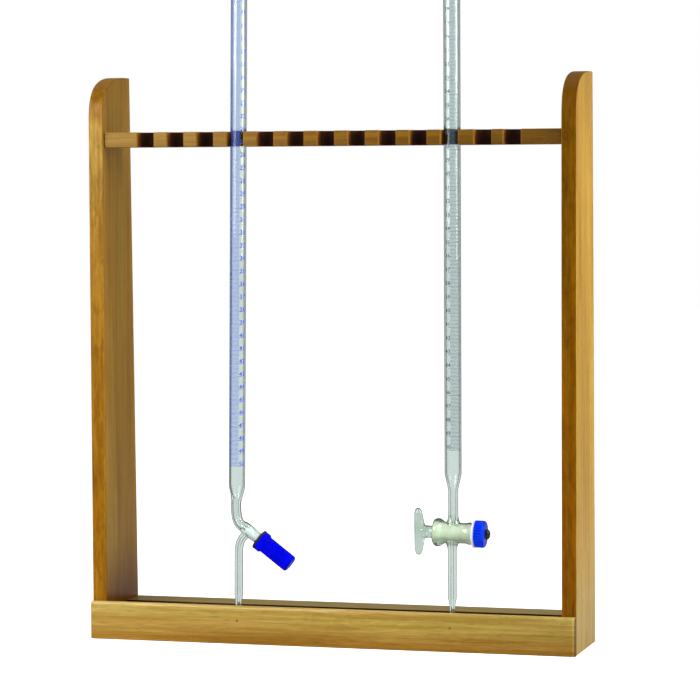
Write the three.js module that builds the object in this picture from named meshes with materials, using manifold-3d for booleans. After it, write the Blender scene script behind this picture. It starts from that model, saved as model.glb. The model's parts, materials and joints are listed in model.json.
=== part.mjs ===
// A wooden burette rack with two glass burettes, as a three.js scene graph of named solids.
// Units are millimetres. X runs along the rack, +Y to the back and +Z up; z = 0 is the table.
import * as THREE from "three";
import { mergeVertices } from "three/addons/utils/BufferGeometryUtils.js";
import Module from "manifold-3d";

const wasm = await Module();
wasm.setup();

// ---- Driving dimensions ----
const rackWidth = 400;
const rackHeight = 455;
const uprightThickness = 12;
const footDepth = 76; // depth of an upright where it stands
const headDepth = 65; // depth of an upright at its top
const shoulderDepth = 63.5; // the upper front corner's rounding, measured back from the front edge
const shoulderHeight = 41; // and down from the top
const shoulderPower = 3; // how square the rounding is: 2 would be an ellipse

const lipHeight = 30.5;
const lipThickness = 5.5;
const lipArris = 2.4; // rounding of the lip's upper front edge
const lipChamfer = 0.8; // and the small chamfer behind it
const shelfBottom = 12;
const shelfInset = 0.6; // keeps the shelf's back inside the uprights' sloping back edges
const shelfTop = 25;
const troughDepth = 3.5;
const troughWidth = 47;

const railBottom = 397.5;
const railThickness = 12;
const railSetback = 3; // from the uprights' front edges to the rail's front face
const railDepth = 38;
const notchCount = 13;
const notchPitch = 25.1;
const notchOffset = -2.1; // the middle notch's distance from the rack's centre
const strayNotch = 11; // the hand-cut notch that stands out of step, counted from 0
const strayDistance = 1.7;
const notchRadius = 6.95;
const notchDepth = 17.3;

const tipHeight = 22; // where a burette's tip stands, just above the trough floor
const valveAngle = 36.5; // the needle valve's barrel, below the horizontal
const keyAxisHeight = 92.6;
const keyDip = 1.2; // how far the stopcock's barrel points below the horizontal, to the right

// ---- Derived positions ----
const innerX = rackWidth / 2 - uprightThickness;
const frontY = lipThickness - (footDepth + lipThickness) / 2; // the uprights' front edges
const railMid = railBottom + railThickness / 2;
const railFront = frontY + railSetback;
const notchCentreY = railFront + notchDepth - notchRadius;
const evenNotchX = (index) => notchOffset + (index - (notchCount - 1) / 2) * notchPitch;
const notchX = (index) => evenNotchX(index) + (index === strayNotch ? strayDistance : 0);

const degrees = Math.PI / 180;

// ---- Colours and surfaces ----
const surfaces = {
  varnished_beech: { color: 0xb8873f, roughness: 0.38, metalness: 0 },
  dowel_beech: { color: 0xc9a56a, roughness: 0.7, metalness: 0 },
  brad_steel: { color: 0x5a4a3a, roughness: 0.5, metalness: 0.8 },
  clear_glass: { color: 0xdfeee8, roughness: 0.03, metalness: 0, transparent: true, opacity: 0.35 },
  blue_plastic: { color: 0x1a2fd0, roughness: 0.4, metalness: 0 },
  white_ptfe: { color: 0xf2f2ee, roughness: 0.55, metalness: 0 },
  pale_silicone: { color: 0xd3d8cf, roughness: 0.6, metalness: 0 },
  black_rubber: { color: 0x18181a, roughness: 0.7, metalness: 0 },
  black_plastic: { color: 0x101114, roughness: 0.35, metalness: 0 },
};

function mesh(name, surface, geometry) {
  const made = new THREE.Mesh(geometry, new THREE.MeshStandardMaterial(surfaces[surface]));
  made.name = name;
  return made;
}

// ---- Solids and their geometry ----
function solid(geometry) {
  const bare = geometry.clone();
  bare.deleteAttribute("normal");
  bare.deleteAttribute("uv");
  const merged = mergeVertices(bare, 1e-4);
  const vertProperties = merged.attributes.position.array;
  const triVerts = new Uint32Array(merged.index.array);
  return new wasm.Manifold(new wasm.Mesh({ numProp: 3, vertProperties, triVerts }));
}

function geometryOf(manifold) {
  const data = manifold.getMesh();
  const indexed = new THREE.BufferGeometry();
  indexed.setAttribute("position", new THREE.BufferAttribute(data.vertProperties, 3));
  indexed.setIndex(new THREE.BufferAttribute(data.triVerts, 1));
  const faceted = indexed.toNonIndexed();
  faceted.computeVertexNormals();
  return faceted;
}

function box(x0, x1, y0, y1, z0, z1) {
  const made = new THREE.BoxGeometry(x1 - x0, y1 - y0, z1 - z0);
  return made.translate((x0 + x1) / 2, (y0 + y1) / 2, (z0 + z1) / 2);
}

// A solid of revolution about Z from [radius, height] points, listed from the bottom to the top.
function lathe(points, segments = 24) {
  const profile = points.map(([radius, height]) => new THREE.Vector2(radius, height));
  return new THREE.LatheGeometry(profile, segments).rotateX(Math.PI / 2);
}

// The same solid lying along X, with heights becoming distances along +X.
function latheX(points, segments = 24) {
  return lathe(points, segments).rotateY(Math.PI / 2);
}

// A straight round rod along X.
function rodX(radius, x0, x1, y, z) {
  return latheX([[0, x0], [radius, x0], [radius, x1], [0, x1]], 16).translate(0, y, z);
}

// A plate drawn in the Y-Z plane and given its thickness along X.
function plateYZ(shape, x0, x1, curveSegments = 6) {
  const plate = new THREE.ExtrudeGeometry(shape, { depth: x1 - x0, bevelEnabled: false, curveSegments });
  plate.applyMatrix4(new THREE.Matrix4().set(0, 0, 1, x0, 1, 0, 0, 0, 0, 1, 0, 0, 0, 0, 0, 1));
  return plate;
}

// A round rod swept along a smooth curve.
function sweep(curve, radius, steps, sides) {
  const section = new THREE.Shape();
  section.absarc(0, 0, radius, 0, 2 * Math.PI);
  const settings = { steps, curveSegments: sides, bevelEnabled: false, extrudePath: curve };
  return new THREE.ExtrudeGeometry(section, settings);
}

function ring(majorRadius, minorRadius) {
  return new THREE.TorusGeometry(majorRadius, minorRadius, 6, 20);
}

// ---- The rack ----
const shoulderSteps = 12;
const dowelRadius = 3;
const dowelHoleRadius = 3.1;
const dowelInUpright = 8;
const dowelInBoard = 13;
const railDowelY = railFront + railDepth - 11;
const shelfDowelYs = [frontY + 22, frontY + 62];
const shelfDowelZ = 16.8;
const bradXs = [-75.6, 99.8];
const bradZ = 18.9;
const bradLength = 18;
const bradRadius = 0.7;
const bradHeadRadius = 1.3;
const bradHeadDepth = 0.9;

// Straight front and sloping back, with a superelliptic shoulder that flattens towards the top's back.
function uprightShape() {
  const shape = new THREE.Shape();
  shape.moveTo(frontY, 0);
  shape.lineTo(frontY + footDepth, 0);
  shape.lineTo(frontY + headDepth, rackHeight);
  for (let i = shoulderSteps; i >= 0; i -= 1) {
    const angle = (i / shoulderSteps) * (Math.PI / 2);
    const reach = 1 - Math.cos(angle) ** (2 / shoulderPower);
    const drop = 1 - Math.sin(angle) ** (2 / shoulderPower);
    shape.lineTo(frontY + shoulderDepth * reach, rackHeight - shoulderHeight * drop);
  }
  shape.lineTo(frontY, 0);
  return shape;
}

// One dowel or its hole on each side of an inner face; side is -1 on the left and +1 on the right.
function dowelRod(side, y, z, radius, endGap) {
  const face = side * innerX;
  const near = face - side * (dowelInBoard + endGap);
  const far = face + side * (dowelInUpright + endGap);
  return rodX(radius, Math.min(near, far), Math.max(near, far), y, z);
}

function dowelPlaces() {
  return [[railDowelY, railMid], ...shelfDowelYs.map((y) => [y, shelfDowelZ])];
}

function drillDowelHoles(board, side) {
  let drilled = board;
  for (const [y, z] of dowelPlaces()) {
    drilled = drilled.subtract(solid(dowelRod(side, y, z, dowelHoleRadius, 0.4)));
  }
  return drilled;
}

function upright(side) {
  const inner = side * innerX;
  const outer = side * (rackWidth / 2);
  const plate = plateYZ(uprightShape(), Math.min(inner, outer), Math.max(inner, outer));
  return geometryOf(drillDowelHoles(solid(plate), side));
}

function railShape() {
  const backY = railFront + railDepth;
  const shape = new THREE.Shape();
  shape.moveTo(-innerX, railFront);
  for (let i = 0; i < notchCount; i += 1) {
    const x = notchX(i);
    shape.lineTo(x - notchRadius, railFront);
    shape.lineTo(x - notchRadius, notchCentreY);
    shape.absarc(x, notchCentreY, notchRadius, Math.PI, 0, true);
    shape.lineTo(x + notchRadius, railFront);
  }
  shape.lineTo(innerX, railFront);
  shape.lineTo(innerX, backY);
  shape.lineTo(-innerX, backY);
  shape.lineTo(-innerX, railFront);
  return shape;
}

function combRail() {
  const settings = { depth: railThickness, bevelEnabled: false, curveSegments: 8 };
  const plate = new THREE.ExtrudeGeometry(railShape(), settings).translate(0, 0, railBottom);
  return geometryOf(drillDowelHoles(drillDowelHoles(solid(plate), -1), 1));
}

function baseShelf() {
  const backY = frontY + footDepth - shelfInset;
  const shape = new THREE.Shape();
  shape.moveTo(frontY, shelfBottom);
  shape.lineTo(backY, shelfBottom);
  shape.lineTo(backY, shelfTop);
  shape.lineTo(frontY + troughWidth, shelfTop);
  shape.lineTo(frontY + troughWidth, shelfTop - troughDepth);
  shape.lineTo(frontY, shelfTop - troughDepth);
  shape.lineTo(frontY, shelfBottom);
  const board = drillDowelHoles(drillDowelHoles(solid(plateYZ(shape, -innerX, innerX)), -1), 1);
  return geometryOf(drillBradHoles(board));
}

function frontLip() {
  const outerY = frontY - lipThickness;
  const shape = new THREE.Shape();
  shape.moveTo(frontY, 0);
  shape.lineTo(frontY, lipHeight - lipChamfer);
  shape.lineTo(frontY - lipChamfer, lipHeight);
  shape.lineTo(outerY + lipArris, lipHeight);
  shape.absarc(outerY + lipArris, lipHeight - lipArris, lipArris, Math.PI / 2, Math.PI, false);
  shape.lineTo(outerY, 0);
  shape.lineTo(frontY, 0);
  return geometryOf(drillBradHoles(solid(plateYZ(shape, -rackWidth / 2, rackWidth / 2, 4))));
}

// A brad pointing to the back, its head flush with the lip's face; grow widens it into its hole.
function brad(x, grow) {
  const face = frontY - lipThickness;
  const shank = bradRadius + grow;
  const head = bradHeadRadius + grow;
  const profile = [
    [0, -grow],
    [head, -grow],
    [head, bradHeadDepth + grow],
    [shank, bradHeadDepth + grow],
    [shank, bradLength - 1.5 + grow],
    [0, bradLength + grow],
  ];
  return lathe(profile, 12).rotateX(-Math.PI / 2).translate(x, face, bradZ);
}

function drillBradHoles(board) {
  return bradXs.reduce((drilled, x) => drilled.subtract(solid(brad(x, 0.08))), board);
}

const sideName = (side) => (side < 0 ? "left" : "right");

function rackGroup() {
  const rack = new THREE.Group();
  rack.add(mesh("left_upright", "varnished_beech", upright(-1)));
  rack.add(mesh("right_upright", "varnished_beech", upright(1)));
  rack.add(mesh("comb_rail", "varnished_beech", combRail()));
  rack.add(mesh("base_shelf", "varnished_beech", baseShelf()));
  rack.add(mesh("front_lip", "varnished_beech", frontLip()));
  for (const side of [-1, 1]) {
    const railDowel = dowelRod(side, railDowelY, railMid, dowelRadius, 0);
    rack.add(mesh(`rail_dowel_${sideName(side)}`, "dowel_beech", railDowel));
    shelfDowelYs.forEach((y, i) => {
      const name = `shelf_dowel_${sideName(side)}_${i + 1}`;
      rack.add(mesh(name, "dowel_beech", dowelRod(side, y, shelfDowelZ, dowelRadius, 0)));
    });
  }
  bradXs.forEach((x, i) => rack.add(mesh(`lip_brad_${i + 1}`, "brad_steel", brad(x, 0))));
  return rack;
}

// ---- Burettes ----
// Each burette is drawn about its own tube axis, x = y = 0, with z as its height above the table,
// and then leaned about the point where the tube passes the comb rail.
function place(burette, notchIndex, sideLean, lean) {
  const leaning = new THREE.Group();
  leaning.position.set(notchX(notchIndex), notchCentreY, railMid);
  leaning.rotation.set(-lean * degrees, sideLean * degrees, 0);
  burette.position.set(0, 0, -railMid);
  leaning.add(burette);
  return leaning;
}

// The outline shared by both jets: a thick-walled stem, drawn down to a thinner, slightly tapering end.
function jet(x, { stem, drawn, tip, drawnTo, drawnFrom }, top) {
  const profile = [
    [0, tipHeight],
    [tip - 0.4, tipHeight],
    [tip, tipHeight + 0.5],
    [drawn, drawnTo],
    [stem - 0.2, drawnFrom - 1],
    [stem, drawnFrom],
    [stem, top],
    [0, top],
  ];
  return lathe(profile, 16).translate(x, 0, 0);
}

function jetBore(x, top) {
  const profile = [
    [0, tipHeight - 1],
    [0.6, tipHeight - 1],
    [0.6, tipHeight + 4],
    [1.1, tipHeight + 16],
    [1.1, top],
    [0, top],
  ];
  return lathe(profile, 8).translate(x, 0, 0);
}

// ---- Burette A: needle valve on a slanting barrel ----
const tubeA = { radius: 6.55, bore: 5.5, top: 705, shoulder: 124 };
const barrelStart = new THREE.Vector3(5.8, 0, 92.9);
const jetOffsetA = 1.8;
const jetShapeA = { stem: 3.45, drawn: 2.75, tip: 2.3, drawnTo: 34, drawnFrom: 37.5 };
const neckOffsetA = -0.9; // the neck leaves the tube a little to one side
const neckRadiusA = 4.2;

// Turns a piece drawn along +Z from the barrel's start so that it lies along the valve's axis.
function alongValve(geometry) {
  geometry.rotateY((90 + valveAngle) * degrees);
  return geometry.translate(barrelStart.x, barrelStart.y, barrelStart.z);
}

function neckCurve(startHeight) {
  return new THREE.CubicBezierCurve3(
    new THREE.Vector3(neckOffsetA, 0, startHeight),
    new THREE.Vector3(neckOffsetA, 0, 104),
    new THREE.Vector3(neckOffsetA - 0.2, 0, 95.6),
    barrelStart,
  );
}

function sideArmCurve() {
  return new THREE.CubicBezierCurve3(
    new THREE.Vector3(9.4, 0, 88.4),
    new THREE.Vector3(5.6, 0, 84.4),
    new THREE.Vector3(jetOffsetA, 0, 82.6),
    new THREE.Vector3(jetOffsetA, 0, 72),
  );
}

function glassBodyA() {
  const { radius, bore, top, shoulder } = tubeA;
  const outside = lathe(
    [[0, 110], [3.2, 110], [3.5, 112.5], [4.3, 115.6], [5.3, 119.2], [6.2, shoulder - 1],
      [radius, shoulder + 1.4], [radius, top - 0.8], [radius - 0.4, top], [0, top]],
  );
  const inside = lathe(
    [[0, 112.5], [0.9, 112.5], [2.3, 115.2], [3.8, 118.8], [bore - 0.5, shoulder - 0.5],
      [bore, shoulder + 3], [bore, top + 1], [0, top + 1]],
  );
  const barrel = alongValve(
    lathe([[0, -3.6], [2.6, -3.3], [4.0, -2.0], [4.75, 0.4], [4.85, 5], [4.6, 12], [4.3, 15],
      [4.3, 31], [0, 31]]),
  );
  const chamber = alongValve(lathe([[0, 1.6], [1.3, 1.6], [3.0, 4.4], [3.0, 32], [0, 32]], 20));
  const seatBore = alongValve(lathe([[0, -1.4], [1.3, -1.4], [1.3, 2.0], [0, 2.0]], 8));
  const body = solid(outside)
    .add(solid(sweep(neckCurve(121), neckRadiusA, 8, 20)))
    .add(solid(barrel))
    .add(solid(sweep(sideArmCurve(), 3.4, 8, 16)))
    .add(solid(jet(jetOffsetA, jetShapeA, 73)));
  const hollow = solid(inside)
    .add(solid(sweep(neckCurve(115), 2.3, 8, 10)))
    .add(solid(chamber))
    .add(solid(seatBore))
    .add(solid(sweep(sideArmCurve(), 1.1, 8, 8)))
    .add(solid(jetBore(jetOffsetA, 73)));
  return geometryOf(body.subtract(hollow));
}

// The white spindle: needle point, two O-ring grooves and a plain head held by the knob.
function needleSpindle() {
  return alongValve(
    lathe([[0, 1.0], [0.9, 1.2], [2.6, 4.3], [2.75, 5.0], [2.75, 11.2], [1.8, 11.2], [1.8, 13.2],
      [2.75, 13.2], [2.75, 15.6], [1.8, 15.6], [1.8, 17.6], [2.75, 17.6], [2.75, 33.5],
      [2.0, 33.5], [2.0, 41], [0, 41]], 20),
  );
}

function needleORing(distance) {
  return alongValve(ring(2.38, 0.48).translate(0, 0, distance));
}

function knobGasket() {
  const section = [[4.5, 16.2], [7.4, 16.2], [7.9, 16.8], [7.9, 17.7], [4.5, 17.7], [4.5, 16.2]];
  return alongValve(lathe(section));
}

// The blue knob: a flanged collar, a ribbed handle and a stepped bore that caps the glass barrel.
function knob() {
  const outside = lathe(
    [[0, 17.75], [7.9, 17.75], [8.4, 18.5], [8.4, 21.6], [7.9, 22.4], [7.2, 22.6], [7.1, 23.4],
      [7.0, 47.6], [6.3, 49], [0, 49]],
  );
  const bore = lathe([[0, 17], [4.65, 17], [4.65, 34], [2.2, 34], [2.2, 41.4], [0, 41.4]]);
  let made = solid(outside).subtract(solid(bore));
  const grooveCount = 12;
  const grooveBottom = 6.55;
  const groove = solid(box(grooveBottom, 8.5, -0.55, 0.55, 24.4, 46.6));
  for (let i = 0; i < grooveCount; i += 1) {
    made = made.subtract(groove.rotate([0, 0, (i * 360) / grooveCount]));
  }
  return alongValve(geometryOf(made));
}

function buretteA() {
  const burette = new THREE.Group();
  burette.add(mesh("glass_body_a", "clear_glass", glassBodyA()));
  burette.add(mesh("needle_spindle_a", "white_ptfe", needleSpindle()));
  burette.add(mesh("needle_o_ring_a_1", "pale_silicone", needleORing(12.2)));
  burette.add(mesh("needle_o_ring_a_2", "pale_silicone", needleORing(16.6)));
  burette.add(mesh("knob_gasket_a", "black_rubber", knobGasket()));
  burette.add(mesh("knob_a", "blue_plastic", knob()));
  return burette;
}

// ---- Burette B: straight-bore stopcock with a glass key ----
const tubeB = { radius: 6.7, bore: 5.6, top: 735, shoulder: 138 };
const jetOffsetB = -0.9;
const jetShapeB = { stem: 3.6, drawn: 2.25, tip: 2.0, drawnTo: 35, drawnFrom: 41 };
const plugLeft = 5.75; // the tapered plug's radius at the barrel's left mouth
const plugRight = 4.2; // and at its right mouth
const barrelLeftX = -15.6;
const barrelRightX = 15.6;
const studStartX = 16.2; // the black threaded stud on the plug's pin
const washerEndX = 18.1;
const nutStartX = 18.2;
const nutEndX = 26.2;
const nutRadius = 10.8;
const groundGap = 0.08;
const keySides = 32; // facets round the plug and its socket

// A piece drawn about the X axis is dipped and raised onto the stopcock's axis.
function onKeyAxis(geometry) {
  return geometry.rotateY(keyDip * degrees).translate(0, 0, keyAxisHeight);
}

function glassBodyB() {
  const { radius, bore, top, shoulder } = tubeB;
  const outside = lathe(
    [[0, keyAxisHeight], [6.4, keyAxisHeight], [6.4, 99.4], [5.2, 101], [4.4, 103.4], [4.0, 107],
      [4.0, 125], [4.3, 128], [5.0, 131.5], [6.4, shoulder - 1], [radius, shoulder + 1],
      [radius, top - 0.8], [radius - 0.4, top], [0, top]],
  );
  const inside = lathe(
    [[0, keyAxisHeight], [1.3, keyAxisHeight], [1.3, 101], [2.3, 107], [2.3, 125], [3.6, 131.5],
      [bore - 0.3, shoulder + 0.5], [bore, shoulder + 3], [bore, top + 1], [0, top + 1]],
  );
  const barrel = onKeyAxis(
    latheX([[0, barrelLeftX], [9.6, barrelLeftX], [10.9, -14.4], [11.2, -12.6], [11.0, -10.2],
      [9.4, -8.2], [8.6, -6.4], [8.3, 0], [8.1, 9.6], [8.3, 10.9], [8.8, 11.9], [8.8, 14.6],
      [8.2, barrelRightX], [0, barrelRightX]], 32),
  );
  const flare = lathe([[0, 79.6], [3.9, 79.6], [4.6, 82.4], [5.8, 85], [5.8, 90], [0, 90]], 16);
  const socket = onKeyAxis(
    latheX([[0, barrelLeftX - 1], [plugLeft + 0.05 + groundGap, barrelLeftX - 1],
      [plugRight - 0.05 + groundGap, barrelRightX + 1], [0, barrelRightX + 1]], keySides),
  );
  const body = solid(outside)
    .add(solid(barrel))
    .add(solid(flare.translate(jetOffsetB, 0, 0)))
    .add(solid(jet(jetOffsetB, jetShapeB, 82)));
  const hollow = solid(inside).add(solid(socket)).add(solid(jetBore(jetOffsetB, 92)));
  return geometryOf(body.subtract(hollow));
}

function keyHandle() {
  const shape = new THREE.Shape();
  shape.moveTo(-30.0, -15.9);
  shape.absarc(-27.9, -15.9, 2.1, Math.PI, 1.94 * Math.PI, false);
  shape.lineTo(-24.7, -6.2);
  shape.quadraticCurveTo(-24.2, -4.2, -21.6, -3.8);
  shape.lineTo(-21.6, 3.8);
  shape.quadraticCurveTo(-24.2, 4.2, -24.7, 6.2);
  shape.lineTo(-26.0, 16.3);
  shape.absarc(-28.0, 15.9, 2.1, 0.06 * Math.PI, Math.PI, false);
  shape.lineTo(-30.3, 0);
  shape.lineTo(-30.0, -15.9);
  const rounding = { bevelEnabled: true, bevelThickness: 2, bevelSize: 1.2, bevelSegments: 2 };
  const settings = { depth: 4, curveSegments: 4, ...rounding };
  return new THREE.ExtrudeGeometry(shape, settings).rotateX(Math.PI / 2).translate(0, 2, 0);
}

// The glass key: flat handle, neck, tapered plug with its cross bore, and a thin threaded-end pin.
function glassKey() {
  const turned = latheX(
    [[0, -24.6], [5.0, -24.6], [5.0, barrelLeftX - 0.9], [plugLeft + 0.03, barrelLeftX - 0.5],
      [plugLeft, barrelLeftX], [plugRight, barrelRightX], [plugRight - 0.3, studStartX - 0.2],
      [2.3, studStartX - 0.2], [2.3, 25], [0, 25]],
    keySides,
  );
  const crossBore = lathe([[0, -8], [1.2, -8], [1.2, 8], [0, 8]], 8);
  const made = solid(turned).add(solid(keyHandle())).subtract(solid(crossBore));
  return onKeyAxis(geometryOf(made));
}

function keyThread() {
  return onKeyAxis(
    latheX([[0, 25.3], [2.4, 25.3], [2.4, studStartX], [3.85, studStartX], [3.85, 28.2], [3.3, 29.1],
      [1.8, 29.6], [0, 29.7]], 20),
  );
}

function keyWasher() {
  const section = [[3.95, studStartX], [10.7, studStartX], [10.9, studStartX + 0.3], [10.9, washerEndX - 0.3],
    [10.7, washerEndX], [3.95, washerEndX], [3.95, studStartX]];
  return onKeyAxis(latheX(section));
}

function keyORing() {
  return onKeyAxis(ring(5.6, 1.2).rotateY(Math.PI / 2).translate(nutStartX + 1.2, 0, 0));
}

function tensionNut() {
  const outside = latheX(
    [[0, nutStartX], [nutRadius - 0.4, nutStartX], [nutRadius, nutStartX + 0.45],
      [nutRadius, nutEndX - 1.4], [nutRadius - 1.4, nutEndX], [0, nutEndX]],
  );
  const recessEnd = nutStartX + 2.5;
  const bore = latheX([[0, 16], [7.2, 16], [7.2, recessEnd], [4.05, recessEnd], [4.05, 29], [0, 29]]);
  let made = solid(outside).subtract(solid(bore));
  const grooveCount = 16;
  const grooveBottom = nutRadius - 0.6;
  const groove = solid(box(nutStartX + 0.9, nutEndX - 1.7, -0.5, 0.5, grooveBottom, 12));
  for (let i = 0; i < grooveCount; i += 1) {
    made = made.subtract(groove.rotate([(i * 360) / grooveCount, 0, 0]));
  }
  return onKeyAxis(geometryOf(made));
}

function buretteB() {
  const burette = new THREE.Group();
  burette.add(mesh("glass_body_b", "clear_glass", glassBodyB()));
  burette.add(mesh("glass_key_b", "clear_glass", glassKey()));
  burette.add(mesh("key_thread_b", "black_plastic", keyThread()));
  burette.add(mesh("key_washer_b", "white_ptfe", keyWasher()));
  burette.add(mesh("key_o_ring_b", "black_rubber", keyORing()));
  burette.add(mesh("tension_nut_b", "blue_plastic", tensionNut()));
  return burette;
}

const root = new THREE.Group();
root.name = "burette_rack";
root.add(rackGroup());
const backLean = 0.8; // degrees, so that the tubes rest in their notches
root.add(place(buretteA(), 3, 0.42, backLean));
root.add(place(buretteB(), 10, -0.19, backLean));

export default root;
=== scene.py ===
"""Looks of a varnished wooden burette rack holding two glass burettes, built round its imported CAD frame.

Lengths in the modelling functions are millimetres; objects are made in metres, in the frame's axes.
"""
import json
from math import cos, exp, pi, radians, sin, sqrt, tau

import bmesh
import bpy
from mathutils import Matrix, Vector


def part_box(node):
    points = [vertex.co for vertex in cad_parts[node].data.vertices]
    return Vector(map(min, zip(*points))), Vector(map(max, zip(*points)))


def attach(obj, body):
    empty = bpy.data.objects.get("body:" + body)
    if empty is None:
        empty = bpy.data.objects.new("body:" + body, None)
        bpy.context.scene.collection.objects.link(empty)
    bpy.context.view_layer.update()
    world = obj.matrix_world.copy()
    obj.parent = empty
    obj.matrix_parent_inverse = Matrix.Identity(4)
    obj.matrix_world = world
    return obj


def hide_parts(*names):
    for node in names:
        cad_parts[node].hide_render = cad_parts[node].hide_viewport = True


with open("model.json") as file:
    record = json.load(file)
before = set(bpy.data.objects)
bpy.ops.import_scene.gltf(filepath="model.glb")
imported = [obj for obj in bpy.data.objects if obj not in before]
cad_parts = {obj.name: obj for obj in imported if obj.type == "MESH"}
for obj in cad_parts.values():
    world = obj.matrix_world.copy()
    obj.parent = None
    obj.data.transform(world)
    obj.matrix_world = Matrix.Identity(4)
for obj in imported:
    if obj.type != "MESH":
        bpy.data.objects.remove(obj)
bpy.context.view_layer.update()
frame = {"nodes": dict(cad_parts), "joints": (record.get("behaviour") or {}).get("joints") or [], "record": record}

MM = 0.001
JOINTS = {joint["name"]: joint for joint in frame["joints"]}


# ---- mesh building ----
def box_mm(node):
    """A CAD node's lowest and highest corners in millimetres."""
    low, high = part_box(node)
    return low / MM, high / MM


def mesh_of(name, vertices, faces):
    mesh = bpy.data.meshes.new(name)
    mesh.from_pydata([tuple(v) for v in vertices], [], faces)
    mesh.update()
    return mesh


def new_object(name, data):
    """A new object, linked to the scene."""
    made = bpy.data.objects.new(name, data)
    bpy.context.scene.collection.objects.link(made)
    return made


def evaluated(made):
    """A new mesh from an object with its modifiers applied."""
    graph = bpy.context.evaluated_depsgraph_get()
    return bpy.data.meshes.new_from_object(made.evaluated_get(graph))


def add_object(name, mesh, to_world, smooth_angle=35):
    """An object whose millimetre mesh is carried by to_world and turned into metres."""
    mesh.transform(Matrix.Scale(MM, 4) @ to_world)
    for polygon in mesh.polygons:
        polygon.use_smooth = True
    mesh.set_sharp_from_angle(angle=radians(smooth_angle))
    return new_object(name, mesh)


def dress(piece, material, body, node=None):
    """Gives a piece its material and body, and hides the CAD node that it stands for."""
    piece.data.materials.clear()
    piece.data.materials.append(material)
    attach(piece, body)
    if node:
        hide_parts(node)


def loft(name, rings, closed=False):
    """A mesh through rings of points listed from the bottom to the top; a ring of one point is a pole."""
    vertices = [point for ring in rings for point in ring]
    numbers = []
    for ring in rings:
        first = numbers[-1][-1] + 1 if numbers else 0
        numbers.append(range(first, first + len(ring)))
    pairs = list(zip(numbers, numbers[1:]))
    if closed:
        pairs.append((numbers[-1], numbers[0]))
    faces = []
    for low, high in pairs:
        steps = max(len(low), len(high))
        for k in range(steps):
            following = (k + 1) % steps
            if len(low) == 1:
                faces.append((low[0], high[following], high[k]))
            elif len(high) == 1:
                faces.append((low[k], low[following], high[0]))
            else:
                faces.append((low[k], low[following], high[following], high[k]))
    return mesh_of(name, vertices, faces)


def revolve(profile, steps=64, closed=False, radius_at=None):
    """A mesh of revolution about Z from (radius, height) points listed from the bottom to the top."""
    rings = []
    for radius, height in profile:
        if radius == 0:
            rings.append([(0, 0, height)])
            continue
        ring = []
        for k in range(steps):
            angle = tau * k / steps
            reach = radius_at(radius, angle, height) if radius_at else radius
            ring.append((reach * cos(angle), reach * sin(angle), height))
        rings.append(ring)
    return loft("revolved", rings, closed)


def sweep(points, radius, sides=32):
    """A capped round rod along a list of points that all lie in the X-Z plane."""
    vertices = []
    count = len(points)
    for i, point in enumerate(points):
        along = (points[min(i + 1, count - 1)] - points[max(i - 1, 0)]).normalized()
        across = Vector((0, 1, 0))
        up = along.cross(across)
        for k in range(sides):
            angle = tau * k / sides
            vertices.append(point + radius * (cos(angle) * up + sin(angle) * across))
    faces = []
    for i in range(count - 1):
        for k in range(sides):
            a = i * sides + k
            b = i * sides + (k + 1) % sides
            faces.append((a, a + sides, b + sides, b))
    faces.append(tuple(range(sides)))
    faces.append(tuple(reversed(range((count - 1) * sides, count * sides))))
    return mesh_of("swept", vertices, faces)


def bezier(controls, steps):
    """Points along a Bezier curve."""
    points = []
    for i in range(steps + 1):
        level = list(controls)
        while len(level) > 1:
            level = [a.lerp(b, i / steps) for a, b in zip(level, level[1:])]
        points.append(level[0])
    return points


def in_plane(*places):
    """Points in the X-Z plane from (x, z) pairs."""
    return [Vector((x, 0, z)) for x, z in places]


def moved(mesh, matrix):
    mesh.transform(matrix)
    return mesh


def outline_plate(outline, thickness):
    """A plate from an outline in the X-Y plane, running counter-clockwise, with its thickness along +Z."""
    count = len(outline)
    vertices = [(x, y, z) for z in (0, thickness) for x, y in outline]
    faces = [tuple(reversed(range(count))), tuple(range(count, 2 * count))]
    for k in range(count):
        following = (k + 1) % count
        faces.append((k, following, following + count, k + count))
    return mesh_of("plate", vertices, faces)


def arc(x, y, radius, start, end, steps):
    """Points on an arc, with angles in degrees."""
    angles = [radians(start + (end - start) * i / steps) for i in range(steps + 1)]
    return [(x + radius * cos(a), y + radius * sin(a)) for a in angles]


def boolean(base, tool, operation):
    """The exact union or difference of two millimetre meshes, as a new mesh."""
    objects = [new_object("boolean_work", mesh) for mesh in (base, tool)]
    modifier = objects[0].modifiers.new("boolean", "BOOLEAN")
    modifier.operation = operation
    modifier.solver = "EXACT"
    modifier.object = objects[1]
    result = evaluated(objects[0])
    for made in objects:
        bpy.data.objects.remove(made)
    return result


def blown(outer_parts, hollow_parts):
    """One glass body: every outer part joined, then every hollow part cut away."""
    body = outer_parts[0]
    for part in outer_parts[1:]:
        body = boolean(body, part, "UNION")
    for part in hollow_parts:
        body = boolean(body, part, "DIFFERENCE")
    return body


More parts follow.
